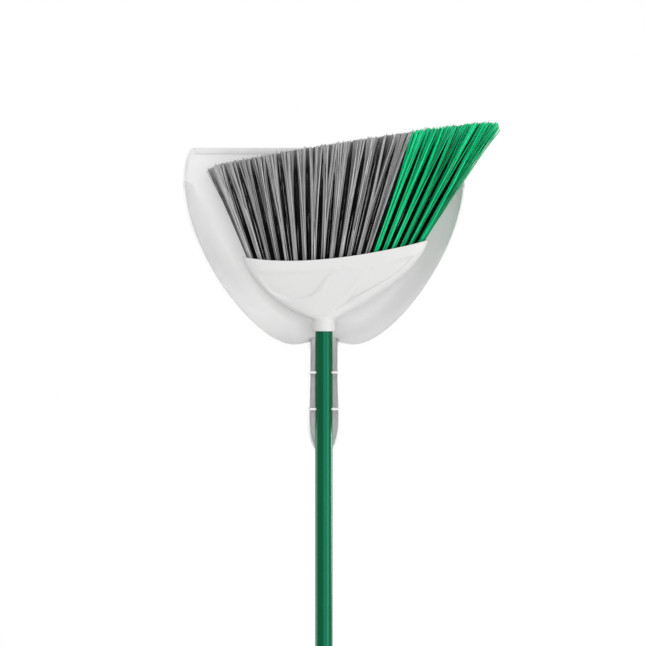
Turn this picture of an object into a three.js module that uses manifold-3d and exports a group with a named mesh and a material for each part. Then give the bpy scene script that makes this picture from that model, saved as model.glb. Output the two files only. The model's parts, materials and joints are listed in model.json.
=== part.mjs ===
// An angle broom and the dust pan that clips on its handle, stored together. The broom stands
// bristles up, the head lies in the pan, and the pan's channelled handle grips the broom's tube.
//
// Millimetres. +Z is up along the broom's handle, +X is the long side of the bristles, and -Y is
// the front. The origin is the end of the handle, on its axis. The head and the pan are each drawn
// from the mouth of the head's socket, in a group that stands at that height.
import * as THREE from "three";
import { mergeVertices } from "three/addons/utils/BufferGeometryUtils.js";
import Module from "manifold-3d";

const wasm = await Module();
wasm.setup();

// ---- Driving dimensions ----

const HANDLE_REACH = 1134; // end of the handle to the mouth of the head's socket
const TUBE_DIAMETER = 19.5;
const TUBE_WALL = 0.5;
const PRESS_GAP = 0.15; // between a pressed shank and the tube
const SEAT_GAP = 0.3; // between faces that rest on each other

const SOCKET_GAP = 0.35; // all round the tube and the thread in the head's socket
const SOCKET_DEPTH = 14; // how far the tube itself goes into the socket
const THREAD_DIAMETER = 16;
const THREAD_PITCH = 5;
const THREAD_LENGTH = 27;
const THREAD_RIDGE = 1.2; // height of the thread's crest over its root
const THREAD_STEPS = 12; // in a turn of the thread, and round it
const SHANK_LENGTH = 22; // pressed length of the thread tip and of the hang cap

const HANG_CAP_LENGTH = 44;
const HANG_TAB_WIDTH = 20;
const HANG_TAB_THICKNESS = 9;
const HANG_HOLE_DIAMETER = 9;
const HANG_HOLE_HEIGHT = 14; // its centre over the end of the handle

const HEAD_LEFT = 92; // reach of the cap's mouth from the handle's axis, to each side
const HEAD_RIGHT = 116.5;
const MOUTH_LEFT_HEIGHT = 83; // height of the mouth's two corners over the socket's mouth
const MOUTH_RIGHT_HEIGHT = 101.5;
const MOUTH_DIP = 23.4; // how far the mouth's curve is pulled down between its corners
const HEAD_THICKNESS = 48;
const CAP_WALL = 2.6;
const MOUTH_SQUARENESS = 6; // the mouth's rounded box: 2 is an oval, and more is squarer
const NECK_DIAMETER = 26;
const NECK_HEIGHT = 13; // the round neck under the cap's shoulders

const BLOCK_GAP = 0.4; // between the block and the cap's inside
const BLOCK_RECESS = 2; // the block's face lies this far inside the cap's mouth
const BLOCK_THICKNESS = 16;
const CAP_HOLLOW = 0.4; // how far down the cap's outline its hollow goes

const GREY_COLUMNS = 14;
const GREEN_COLUMNS = 6;
const TUFT_ROWS = 4;
const TUFT_DIAMETER = 6.2;
const TUFT_GAP = 0.3; // round a tuft in its hole, and between neighbouring columns' tips
const ROOT_DEPTH = 8;
const ROW_PITCH = 9; // between rows, at the block,
const END_ROW_PITCH = 7.2; // where the rows draw together at the head's two ends,
const TIP_ROW_PITCH = 12.4; // and at the tips
const TUFT_EDGE = 12; // the outer tufts' centres to the mouth's corners
const FAN_LEFT = -19.5; // lean of the outer columns, in degrees from the handle's axis
const FAN_RIGHT = 30;
const TRIM_LEFT_HEIGHT = 188; // the slanted cut of the tips, over the socket's mouth,
const TRIM_RIGHT_HEIGHT = 235; // at its left and right ends,
const TRIM_CROWN = 3.5; // and how far it rises over a straight line between them

const PAN_SIDE_ROOM = 42; // the cap's right corner to the widest part of the pan
const PAN_FLOOR_ROOM = 13; // the bristles' back to the pan's floor
const PAN_WALL = 2.4;
const PAN_LIP_HEIGHT = 206.5; // the pan's front edge, over the socket's mouth
const PAN_WIDEST_HEIGHT = 169.5;
const PAN_REAR_DROP = 17; // the pan's two rear lobes, under the socket's mouth
const PAN_NOTCH_DROP = 12; // the dip between the lobes
const LOBE_REACH = 33.5; // the lobes' lowest points from the handle's axis
const WING_WIDTH = 10.5; // the low wings beside the front of the floor
const WING_RISE = 7;
const WALL_SWEEP = 25; // width of the curve from the floor up to the rim
const WALL_STEP = 20; // the side walls' height just behind the wings
const REAR_RIM_FRONT = 8; // the rear rim stands this far in front of the handle's axis

const LIP_THICKNESS = 3.4;
const LIP_WIDTH = 6;
const TONGUE_THICKNESS = 1;
const TONGUE_LENGTH = 3;

const GRIP_WIDTH = 35.5; // the pan's channelled handle
const GRIP_SWELL = 1; // extra half width where a hand holds it
const GRIP_WALL = 2.9;
const GRIP_LENGTH = 120; // from the dip between the lobes to the end
const GRIP_TAPER = 47; // length of its rounded end
const GRIP_FRONT = 5.5; // its open edges stand this far in front of the handle's axis
const CHANNEL_ROOM = 6.2; // behind the tube, in the channel
const PAD_ROOM = 1; // behind the tube, at the channel's shallow end
const RIB_THICKNESS = 2.8;
const RIB_DROPS = [46, 87]; // the two snap ribs' middles, under the socket's mouth
const SNAP_GAP = 0.3; // between the tube and a rib's jaws

// ---- Sizes worked out from them ----

const tubeRadius = TUBE_DIAMETER / 2;
const neckRadius = NECK_DIAMETER / 2;
const threadRadius = THREAD_DIAMETER / 2;
const tuftRadius = TUFT_DIAMETER / 2;
const columns = GREY_COLUMNS + GREEN_COLUMNS;
const tipHalfThickness = ((TUFT_ROWS - 1) / 2) * TIP_ROW_PITCH + TIP_ROW_PITCH / 2;
const floorFront = Math.max(tipHalfThickness, HEAD_THICKNESS / 2) + PAN_FLOOR_ROOM;
const floorBack = floorFront + PAN_WALL;
const rearDepth = floorFront + REAR_RIM_FRONT;
const panHalfWidth = HEAD_RIGHT + PAN_SIDE_ROOM;
const channelFloor = tubeRadius + CHANNEL_ROOM;
const gripBack = channelFloor + PAN_WALL;

// ---- Tools ----

const lerp = THREE.MathUtils.lerp;
const rad = THREE.MathUtils.degToRad;
const smooth = (x) => THREE.MathUtils.smoothstep(x, 0, 1);
const point = (x, y, z) => new THREE.Vector3(x, y, z);
const span = (count) => [...Array(count).keys()];

// A closed three.js geometry as a solid that can be joined and cut.
function solidOf(geometry) {
  const bare = geometry.clone();
  bare.deleteAttribute("normal");
  bare.deleteAttribute("uv");
  const merged = mergeVertices(bare, 1e-4);
  return new wasm.Manifold(
    new wasm.Mesh({
      numProp: 3,
      vertProperties: new Float32Array(merged.attributes.position.array),
      triVerts: new Uint32Array(merged.index.array),
    }),
  );
}

function geometryOf(solid) {
  const mesh = solid.getMesh();
  const geometry = new THREE.BufferGeometry();
  geometry.setAttribute("position", new THREE.BufferAttribute(mesh.vertProperties, 3));
  geometry.setIndex(new THREE.BufferAttribute(mesh.triVerts, 1));
  const flat = geometry.toNonIndexed();
  flat.computeVertexNormals();
  return flat;
}

const join = (...solids) => solids.reduce((whole, solid) => whole.add(solid));

// A closed body from a list of triangles' corners.
function bodyOf(corners) {
  const geometry = new THREE.BufferGeometry().setFromPoints(corners);
  return solidOf(mergeVertices(geometry, 1e-4));
}

// The triangles that close a ring, in strips across it from front to back.
function lid(ring) {
  const corners = [];
  const half = ring.length / 2;
  for (const i of span(half)) {
    const [a, b, c, d] = [ring[i], ring[i + 1], ring[2 * half - i - 1], ring[(2 * half - i) % (2 * half)]];
    if (i < half - 1) corners.push(a, b, c);
    if (i > 0) corners.push(a, c, d);
  }
  return corners;
}

// A closed body through rings of points. The rings follow each other upwards. Each has the same
// even number of points, which run counterclockwise seen from above.
function loft(rings) {
  const corners = [...lid(rings[0]).reverse(), ...lid(rings[rings.length - 1])];
  const count = rings[0].length;
  for (const i of span(rings.length - 1)) {
    for (const j of span(count)) {
      const k = (j + 1) % count;
      const [a, b, c, d] = [rings[i][j], rings[i][k], rings[i + 1][k], rings[i + 1][j]];
      corners.push(a, b, c, a, c, d);
    }
  }
  return bodyOf(corners);
}

// A ring of points on a rounded box: power 2 is an ellipse, and more is squarer.
function roundedRing(count, halfX, halfY, z, power = 2) {
  const squared = (v) => Math.sign(v) * Math.abs(v) ** (2 / power);
  return span(count).map((i) => {
    const turn = (i / count) * 2 * Math.PI;
    return point(halfX * squared(Math.cos(turn)), halfY * squared(Math.sin(turn)), z);
  });
}

// A cylinder along Z, from one height to another.
function rod(radius, from, to, sides = 32) {
  return loft([roundedRing(sides, radius, radius, from), roundedRing(sides, radius, radius, to)]);
}

// A box from one corner to the other.
function block(from, to) {
  const size = new THREE.Vector3().subVectors(to, from);
  const geometry = new THREE.BoxGeometry(size.x, size.y, size.z);
  return solidOf(geometry.translate((from.x + to.x) / 2, (from.y + to.y) / 2, (from.z + to.z) / 2));
}

// A shape drawn in X and Z, as a plate from one depth to another.
function plate(shape, front, back) {
  const geometry = new THREE.ExtrudeGeometry(shape, {
    depth: back - front,
    bevelEnabled: false,
    curveSegments: 12,
  });
  return solidOf(geometry.rotateX(Math.PI / 2).translate(0, back, 0));
}

function part(name, solid, material) {
  const mesh = new THREE.Mesh(geometryOf(solid), material);
  mesh.name = name;
  return mesh;
}

// ---- Materials ----

const greenPaint = new THREE.MeshStandardMaterial({ color: "#0b6136", roughness: 0.28, metalness: 0.35 });
const greenPlastic = new THREE.MeshStandardMaterial({ color: "#0d5a35", roughness: 0.42 });
const naturalPlastic = new THREE.MeshStandardMaterial({ color: "#c9cbc6", roughness: 0.5 });
const whiteCap = new THREE.MeshStandardMaterial({ color: "#ececeb", roughness: 0.38 });
const whitePan = new THREE.MeshStandardMaterial({ color: "#e2e2e1", roughness: 0.45 });
const whiteRubber = new THREE.MeshStandardMaterial({ color: "#d6d6d4", roughness: 0.7 });
const blackPlastic = new THREE.MeshStandardMaterial({ color: "#161616", roughness: 0.6 });
const greyFibre = new THREE.MeshStandardMaterial({ color: "#8a8a8a", roughness: 0.5 });
const greenFibre = new THREE.MeshStandardMaterial({ color: "#10b06c", roughness: 0.45 });

// ---- Handle ----

const tubeTop = HANDLE_REACH + SOCKET_DEPTH;
const shankRadius = tubeRadius - TUBE_WALL - PRESS_GAP;

function handleTube() {
  const outside = rod(tubeRadius, HANG_CAP_LENGTH, tubeTop);
  return outside.subtract(rod(tubeRadius - TUBE_WALL, HANG_CAP_LENGTH - 1, tubeTop + 1));
}

// Pressed into the tube's top end, with a collar on the tube. The coarse thread that the head
// takes is a round core whose middle circles the axis once in each pitch.
function threadTip() {
  const collarTop = tubeTop + SEAT_GAP + 2;
  const core = threadRadius - THREAD_RIDGE / 2;
  const turns = Math.floor(THREAD_LENGTH / THREAD_PITCH) - 1;
  const ring = (radius, z, away = 0, turn = 0) =>
    roundedRing(THREAD_STEPS, radius, radius, z).map((p) =>
      p.add(point(away * Math.cos(turn), away * Math.sin(turn), 0)),
    );
  const thread = span(turns * THREAD_STEPS + 1).map((i) => {
    const z = collarTop + 1 + (i / THREAD_STEPS) * THREAD_PITCH;
    return ring(core, z, THREAD_RIDGE / 2, (i / THREAD_STEPS) * 2 * Math.PI);
  });
  const narrow = core - THREAD_RIDGE / 2;
  return join(
    rod(shankRadius, tubeTop - SHANK_LENGTH, tubeTop + SEAT_GAP + 1),
    rod(tubeRadius, tubeTop + SEAT_GAP, collarTop),
    loft([
      ring(narrow, collarTop - 1),
      ring(narrow, collarTop + 0.5),
      ...thread,
      ring(narrow, collarTop + THREAD_LENGTH - 2),
      ring(narrow - 1.5, collarTop + THREAD_LENGTH),
    ]),
  );
}

// Pressed into the tube's bottom end: a round collar that flattens to a tab with a hole.
function hangCap() {
  const [width, thickness] = [HANG_TAB_WIDTH / 2, HANG_TAB_THICKNESS / 2];
  const collar = tubeRadius + 0.4;
  const top = HANG_CAP_LENGTH - SEAT_GAP;
  const sides = 24;
  const body = loft([
    roundedRing(sides, 0.5 * width, 0.75 * thickness, 0, 3),
    roundedRing(sides, 0.78 * width, 0.92 * thickness, 2, 3),
    roundedRing(sides, 0.95 * width, thickness, 6, 3),
    roundedRing(sides, width, thickness, 11, 3),
    roundedRing(sides, width, thickness, HANG_CAP_LENGTH - 22, 3),
    roundedRing(sides, collar, collar, HANG_CAP_LENGTH - 9),
    roundedRing(sides, collar, collar, top),
  ]);
  const hole = solidOf(
    new THREE.CylinderGeometry(HANG_HOLE_DIAMETER / 2, HANG_HOLE_DIAMETER / 2, 30, 20).translate(
      0,
      0,
      HANG_HOLE_HEIGHT,
    ),
  );
  return join(body, rod(shankRadius, top - 1, top + SHANK_LENGTH)).subtract(hole);
}

// ---- Head ----
// The cap's front outline is a curved mouth between two corners, and two curves that run from
// the corners down to the neck. A section at share v of the way down joins the two curves.

const leftSide = new THREE.CubicBezierCurve(
  new THREE.Vector2(-HEAD_LEFT, MOUTH_LEFT_HEIGHT),
  new THREE.Vector2(-0.87 * HEAD_LEFT, 0.62 * MOUTH_LEFT_HEIGHT),
  new THREE.Vector2(-0.57 * HEAD_LEFT, 0.32 * MOUTH_LEFT_HEIGHT),
  new THREE.Vector2(-neckRadius, NECK_HEIGHT),
);
const rightSide = new THREE.CubicBezierCurve(
  new THREE.Vector2(HEAD_RIGHT, MOUTH_RIGHT_HEIGHT),
  new THREE.Vector2(0.93 * HEAD_RIGHT, 0.71 * MOUTH_RIGHT_HEIGHT),
  new THREE.Vector2(0.57 * HEAD_RIGHT, 0.39 * MOUTH_RIGHT_HEIGHT),
  new THREE.Vector2(neckRadius, NECK_HEIGHT),
);

// The curved line across the cap at share v, drawn in by inset at both ends.
function across(v, inset) {
  const [left, right] = [leftSide.getPoint(v), rightSide.getPoint(v)];
  const along = right.clone().sub(left).normalize();
  left.addScaledVector(along, inset);
  right.addScaledVector(along, -inset);
  const middle = left.clone().add(right).divideScalar(2);
  middle.x -= 0.117 * (HEAD_LEFT + HEAD_RIGHT) * (1 - v);
  middle.y -= MOUTH_DIP * (1 - v);
  return new THREE.QuadraticBezierCurve(left, middle, right);
}

// Half the cap's thickness at share v: full at the mouth, and the neck's radius at the shoulders.
const halfThickness = (v) => lerp(HEAD_THICKNESS / 2, neckRadius, smooth(v));

// A ring round the head at share v, raised along the handle by rise.
function headRing(v, inset, rise = 0, count = 32) {
  const line = across(v, inset);
  const power = lerp(MOUTH_SQUARENESS, 2, smooth(v));
  return roundedRing(count, 1, halfThickness(v) - inset, 0, power).map((p) => {
    const at = line.getPoint((p.x + 1) / 2);
    return point(at.x, p.y, at.y + rise);
  });
}

const blockLine = across(0, CAP_WALL + BLOCK_GAP);

function headCap() {
  const shares = [0.96, 0.88, 0.78, 0.66, 0.53, 0.4, 0.27, 0.14, 0.05, 0];
  const neckRings = [0, 1.5, NECK_HEIGHT].map((z) =>
    roundedRing(32, neckRadius - (z ? 0 : 0.6), neckRadius - (z ? 0 : 0.6), z),
  );
  const outside = loft([...neckRings, ...shares.map((v) => headRing(v, 0))]);
  const hollow = loft([
    ...[CAP_HOLLOW, 0.27, 0.14, 0].map((v) => headRing(v, CAP_WALL)),
    headRing(0, CAP_WALL, 10),
  ]);
  const threadTop = SOCKET_DEPTH + THREAD_LENGTH + 6;
  const bore = join(
    rod(tubeRadius + SOCKET_GAP, -1, SOCKET_DEPTH + SEAT_GAP + 2.5),
    rod(threadRadius + SOCKET_GAP, SOCKET_DEPTH, threadTop),
  );
  return outside.subtract(hollow).subtract(bore);
}

// Where a column leaves the block, and which way it leans.
function columnBase(column) {
  const share = column / (columns - 1);
  const edge = (TUFT_EDGE - CAP_WALL - BLOCK_GAP) / blockLine.getLength();
  const at = blockLine.getPointAt(lerp(edge, 1 - edge, share));
  const lean = rad(lerp(FAN_LEFT, FAN_RIGHT, share));
  return {
    root: point(at.x, 0, at.y - BLOCK_RECESS),
    lean: point(Math.sin(lean), 0, Math.cos(lean)),
  };
}

// Height of the tips' slanted cut at x.
const trimSlope = (TRIM_RIGHT_HEIGHT - TRIM_LEFT_HEIGHT) / (1.56 * (HEAD_LEFT + HEAD_RIGHT));
function trimHeight(x) {
  const share = THREE.MathUtils.clamp((x + 1.4 * HEAD_LEFT) / (1.56 * (HEAD_LEFT + HEAD_RIGHT)), 0, 1);
  const crown = 4 * TRIM_CROWN * share * (1 - share);
  return lerp(TRIM_LEFT_HEIGHT, TRIM_RIGHT_HEIGHT, share) + crown;
}

// The point of a column's middle line that lies on the cut.
function columnTip(column) {
  const { root, lean } = columnBase(column);
  const tip = root.clone();
  for (const _ of span(8)) tip.addScaledVector(lean, (trimHeight(tip.x) - tip.z) / lean.z);
  return tip;
}

const tips = span(columns).map(columnTip);
const roots = span(columns).map(columnBase);
const rowOffset = (row, pitch) => (row - (TUFT_ROWS - 1) / 2) * pitch;

// How far apart a column's rows are at the block.
function rowPitch(column) {
  const towardsEnd = Math.abs((2 * column) / (columns - 1) - 1) ** 6;
  return lerp(ROW_PITCH, END_ROW_PITCH, towardsEnd);
}

// Half the room along X that a column has at the cut, up to its neighbours'.
function tipHalfWidth(column) {
  const next = tips[Math.min(column + 1, columns - 1)];
  const last = tips[Math.max(column - 1, 0)];
  const steps = Math.min(column + 1, columns - 1) - Math.max(column - 1, 0);
  return (next.x - last.x) / steps / 2 - TUFT_GAP;
}

const TUFT_SIDES = 8;

// A ring of a tuft: a level oval at a place on its column, at its row's depth.
function tuftRing(at, depth, halfX, halfY, power = 2, slope = 0) {
  return roundedRing(TUFT_SIDES, halfX, halfY, 0, power).map((p) =>
    point(at.x + p.x, depth + p.y, at.z + p.x * slope),
  );
}

// The tufts of one column stand in separate holes, and their fibres spread into each other.
function tuftColumn(column) {
  const { root, lean } = roots[column];
  const foot = root.clone().addScaledVector(lean, -ROOT_DEPTH);
  const collar = root.clone().addScaledVector(lean, 1);
  const halfWidth = tipHalfWidth(column);
  const tufts = span(TUFT_ROWS).map((row) => {
    const base = rowOffset(row, rowPitch(column));
    const end = rowOffset(row, TIP_ROW_PITCH);
    return loft([
      tuftRing(foot, base, tuftRadius, tuftRadius),
      tuftRing(collar, base, tuftRadius, tuftRadius),
      tuftRing(tips[column], end, halfWidth, TIP_ROW_PITCH / 2 + 0.6, 4, trimSlope),
    ]);
  });
  return join(...tufts);
}

// The block that fills the cap's mouth, with a blind hole for every tuft.
function bristleBlock() {
  const inset = CAP_WALL + BLOCK_GAP;
  const body = loft([
    headRing(0, inset, -BLOCK_RECESS - BLOCK_THICKNESS),
    headRing(0, inset, -BLOCK_RECESS - BLOCK_THICKNESS / 2),
    headRing(0, inset, -BLOCK_RECESS),
  ]);
  // It narrows with the cap's own hollow, so that it seats all round.
  const seat = loft([
    ...[CAP_HOLLOW, 0.27, 0.14, 0].map((v) => headRing(v, inset)),
    headRing(0, inset, 10),
  ]);
  const radius = tuftRadius + TUFT_GAP;
  const holes = span(columns).flatMap((column) => {
    const { root, lean } = roots[column];
    const bottom = root.clone().addScaledVector(lean, -ROOT_DEPTH - TUFT_GAP);
    const mouth = root.clone().addScaledVector(lean, 8);
    return span(TUFT_ROWS).map((row) => {
      const depth = rowOffset(row, rowPitch(column));
      return loft([tuftRing(bottom, depth, radius, radius), tuftRing(mouth, depth, radius, radius)]);
    });
  });
  return body.intersect(seat).subtract(wasm.Manifold.union(holes));
}

// ---- Dust pan ----
// The rim's outline runs from the front corner, round the widest part, to a rear lobe and the
// dip beside the handle. It is drawn for the right half and mirrored.

const floorHalfWidth = panHalfWidth - WING_WIDTH;
const cornerCurve = new THREE.CubicBezierCurve(
  new THREE.Vector2(floorHalfWidth, PAN_LIP_HEIGHT),
  new THREE.Vector2(panHalfWidth - 0.43 * WING_WIDTH, PAN_LIP_HEIGHT - 3.5),
  new THREE.Vector2(panHalfWidth, lerp(PAN_WIDEST_HEIGHT, PAN_LIP_HEIGHT, 0.45)),
  new THREE.Vector2(panHalfWidth, PAN_WIDEST_HEIGHT),
);
const sideCurve = new THREE.CubicBezierCurve(
  new THREE.Vector2(panHalfWidth, PAN_WIDEST_HEIGHT),
  new THREE.Vector2(panHalfWidth, 0.53 * PAN_WIDEST_HEIGHT),
  new THREE.Vector2(0.5 * panHalfWidth, -PAN_REAR_DROP),
  new THREE.Vector2(LOBE_REACH, -PAN_REAR_DROP),
);
const dipCurve = new THREE.CubicBezierCurve(
  new THREE.Vector2(LOBE_REACH, -PAN_REAR_DROP),
  new THREE.Vector2(0.65 * LOBE_REACH, -PAN_REAR_DROP),
  new THREE.Vector2(0.36 * LOBE_REACH, -PAN_NOTCH_DROP),
  new THREE.Vector2(0, -PAN_NOTCH_DROP),
);

// Points of the right half's rim, each with its level way in towards the floor.
function rimStations() {
  const station = (curve, share, way) => {
    const [at, along] = [curve.getPoint(share), curve.getTangent(share)];
    return { at, way: way ?? new THREE.Vector2(along.y, -along.x) };
  };
  const sideways = new THREE.Vector2(-1, 0);
  return [
    ...span(5).map((i) => station(cornerCurve, i / 5, sideways)),
    ...span(16).map((i) => station(sideCurve, i / 16)),
    ...span(5).map((i) => station(dipCurve, i / 4)),
  ];
}

// Height of the wall over the floor, where the rim is at height z.
function wallHeight(z) {
  const forward = (z - PAN_WIDEST_HEIGHT) / (PAN_LIP_HEIGHT - PAN_WIDEST_HEIGHT);
  if (forward > 0) return WING_RISE * (1 - 0.9 * forward * forward);
  const step = smooth((PAN_WIDEST_HEIGHT - z) / 16);
  const climb = smooth((PAN_WIDEST_HEIGHT - 16 - z) / 124);
  return WING_RISE + (WALL_STEP - WING_RISE) * step + (rearDepth - WALL_STEP) * climb;
}

// Width of the curve from the floor to the rim, where the rim is at this place.
function wallSweep(at) {
  if (at.y >= PAN_WIDEST_HEIGHT) return Math.max(at.x - floorHalfWidth, 0.4);
  return lerp(WING_WIDTH, WALL_SWEEP, smooth((PAN_WIDEST_HEIGHT - at.y) / 45));
}

const SWEEP_ANGLES = [0, 12, 28, 45, 62, 78, 90].map(rad);

// The wall's section at a station: a quarter oval from the rim down to the floor, on its inside
// and its outside.
function wallSection({ at, way }) {
  const [height, sweep] = [wallHeight(at.y), wallSweep(at)];
  const side = (wall, drop) =>
    SWEEP_ANGLES.map((angle) => {
      const inwards = drop + (sweep + wall) * (1 - Math.cos(angle));
      const depth = floorFront + wall - (height + wall) * (1 - Math.sin(angle));
      return point(at.x + way.x * inwards, depth, at.y + way.y * inwards);
    });
  return { inside: side(0, PAN_WALL), outside: side(PAN_WALL, 0) };
}

// A closed body between two sheets of points that have the same rows and columns.
function between(inside, outside) {
  const corners = [];
  const quad = (a, b, c, d) => corners.push(a, b, c, a, c, d);
  const [last, end] = [inside.length - 1, inside[0].length - 1];
  for (const i of span(last)) {
    for (const k of span(end)) {
      quad(inside[i][k], inside[i][k + 1], inside[i + 1][k + 1], inside[i + 1][k]);
      quad(outside[i][k], outside[i + 1][k], outside[i + 1][k + 1], outside[i][k + 1]);
    }
    quad(inside[i][0], inside[i + 1][0], outside[i + 1][0], outside[i][0]);
    quad(inside[i][end], outside[i][end], outside[i + 1][end], inside[i + 1][end]);
  }
  for (const k of span(end)) {
    quad(inside[0][k], outside[0][k], outside[0][k + 1], inside[0][k + 1]);
    quad(inside[last][k], inside[last][k + 1], outside[last][k + 1], outside[last][k]);
  }
  return bodyOf(corners);
}

// The bowl of the pan: its walls all round, and the flat floor between them.
function panBowl() {
  const right = rimStations().map(wallSection);
  const mirrored = (row) => row.map((p) => point(-p.x, p.y, p.z));
  const left = right
    .slice(0, -1)
    .map((s) => ({ inside: mirrored(s.inside), outside: mirrored(s.outside) }))
    .reverse();
  const all = [...right, ...left];
  const walls = between(
    all.map((s) => s.inside),
    all.map((s) => s.outside),
  );
  const edge = all.map((s) => s.inside[SWEEP_ANGLES.length - 1]);
  const floor = new THREE.Shape(edge.map((p) => new THREE.Vector2(p.x, Math.min(p.z, tongueFoot))));
  return walls.add(plate(floor, floorFront, floorBack));
}

// The pan's handle from the front, drawn in by inset.
function gripShape(inset, top) {
  const half = GRIP_WIDTH / 2 - inset;
  const end = -PAN_NOTCH_DROP - GRIP_LENGTH;
  const taper = end + GRIP_TAPER;
  const wide = half + GRIP_SWELL;
  const shape = new THREE.Shape();
  shape.moveTo(half, top);
  shape.lineTo(-half, top);
  shape.lineTo(-half, -PAN_REAR_DROP - 25);
  shape.lineTo(-wide, taper);
  shape.bezierCurveTo(-wide, end + 0.45 * GRIP_TAPER, -0.62 * wide, end + inset, 0, end + inset);
  shape.bezierCurveTo(0.62 * wide, end + inset, wide, end + 0.45 * GRIP_TAPER, wide, taper);
  shape.lineTo(half, -PAN_REAR_DROP - 25);
  shape.closePath();
  return shape;
}

// What is cut away so that the grip's walls sink behind the tube at its rounded end.
function gripSlope() {
  const end = -PAN_NOTCH_DROP - GRIP_LENGTH;
  const sheet = (y, z) => [
    point(-GRIP_WIDTH, -50, z),
    point(GRIP_WIDTH, -50, z),
    point(GRIP_WIDTH, y, z),
    point(-GRIP_WIDTH, y, z),
  ];
  const slope = loft([sheet(tubeRadius + PAD_ROOM, end - 1), sheet(-GRIP_FRONT, end + GRIP_TAPER)]);
  return slope.add(rod(tubeRadius + SNAP_GAP, end - 5, end + GRIP_TAPER / 2));
}

// The rib's middle is level with z, and the channel's front is cut round the tube.
function snapRib(z) {
  const half = GRIP_WIDTH / 2 - GRIP_WALL / 2;
  const bar = block(
    point(-half, -GRIP_FRONT, z - RIB_THICKNESS / 2),
    point(half, channelFloor + PAN_WALL / 2, z + RIB_THICKNESS / 2),
  );
  const jaws = rod(tubeRadius + SNAP_GAP, z - RIB_THICKNESS, z + RIB_THICKNESS, 32);
  return bar.subtract(jaws);
}

const tongueFoot = PAN_LIP_HEIGHT - LIP_WIDTH + TONGUE_LENGTH;
const tongueMiddle = (floorFront + floorBack) / 2;

// The thin front edge of the floor that the soft lip is pressed on.
function lipTongue(gap) {
  const half = floorHalfWidth - 4 + gap;
  return block(
    point(-half, tongueMiddle - TONGUE_THICKNESS / 2 - gap, PAN_LIP_HEIGHT - LIP_WIDTH - 1),
    point(half, tongueMiddle + TONGUE_THICKNESS / 2 + gap, tongueFoot + gap),
  );
}

function lipRoom() {
  const half = floorHalfWidth - 2;
  return block(
    point(-half, floorFront - 5, PAN_LIP_HEIGHT - LIP_WIDTH),
    point(half, floorBack + 5, PAN_LIP_HEIGHT + 5),
  );
}

function panBody() {
  const drop = -PAN_REAR_DROP;
  const grip = plate(gripShape(0, drop + 14), -GRIP_FRONT, gripBack);
  const ribFoot = -RIB_DROPS[1];
  const deepChannel = block(
    point(-GRIP_WIDTH, -50, ribFoot),
    point(GRIP_WIDTH, channelFloor, 60),
  ).intersect(plate(gripShape(GRIP_WALL, 50), -50, 60));
  const padFloor = tubeRadius + PAD_ROOM;
  const shallowChannel = plate(gripShape(GRIP_WALL, ribFoot + 1), -50, padFloor);
  const gripped = panBowl()
    .add(grip)
    .subtract(deepChannel)
    .subtract(shallowChannel)
    .subtract(gripSlope())
    .add(join(...RIB_DROPS.map((z) => snapRib(-z))));
  return gripped.subtract(lipRoom()).add(lipTongue(0));
}

// The soft lip: a wedge along the pan's front edge, with a groove for the floor's tongue.
function panLip() {
  const half = floorHalfWidth - 2 - SEAT_GAP;
  const [foot, edge] = [PAN_LIP_HEIGHT - LIP_WIDTH + SEAT_GAP, PAN_LIP_HEIGHT];
  const [front, back] = [tongueMiddle - LIP_THICKNESS / 2, tongueMiddle + LIP_THICKNESS / 2];
  const wedge = loft([
    [point(-half, front, foot), point(half, front, foot), point(half, back, foot), point(-half, back, foot)],
    [
      point(-half, back - 1.2, edge),
      point(half, back - 1.2, edge),
      point(half, back, edge),
      point(-half, back, edge),
    ],
  ]);
  return wedge.subtract(lipTongue(SEAT_GAP));
}

// ---- Assembly ----

const handle = new THREE.Group();
handle.add(
  part("handle_tube", handleTube(), greenPaint),
  part("thread_tip", threadTip(), naturalPlastic),
  part("hang_cap", hangCap(), greenPlastic),
);

const head = new THREE.Group();
head.position.z = HANDLE_REACH;
head.add(part("head_cap", headCap(), whiteCap), part("bristle_block", bristleBlock(), blackPlastic));
for (const column of span(columns)) {
  const grey = column < GREY_COLUMNS;
  const number = String(grey ? column + 1 : column + 1 - GREY_COLUMNS).padStart(2, "0");
  const name = (grey ? "grey_tufts_" : "green_tufts_") + number;
  head.add(part(name, tuftColumn(column), grey ? greyFibre : greenFibre));
}

const pan = new THREE.Group();
pan.position.z = HANDLE_REACH;
pan.add(part("pan_body", panBody(), whitePan), part("pan_lip", panLip(), whiteRubber));

const set = new THREE.Group();
set.add(handle, head, pan);

export default set;
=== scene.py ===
"""The looks of an angle broom with a dust pan clipped on its handle.

Metres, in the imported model's frame. The head and the pan are drawn in millimetres from the mouth of
the head's socket, and placed there by at().
"""

import json
import math
import random
from types import SimpleNamespace

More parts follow.
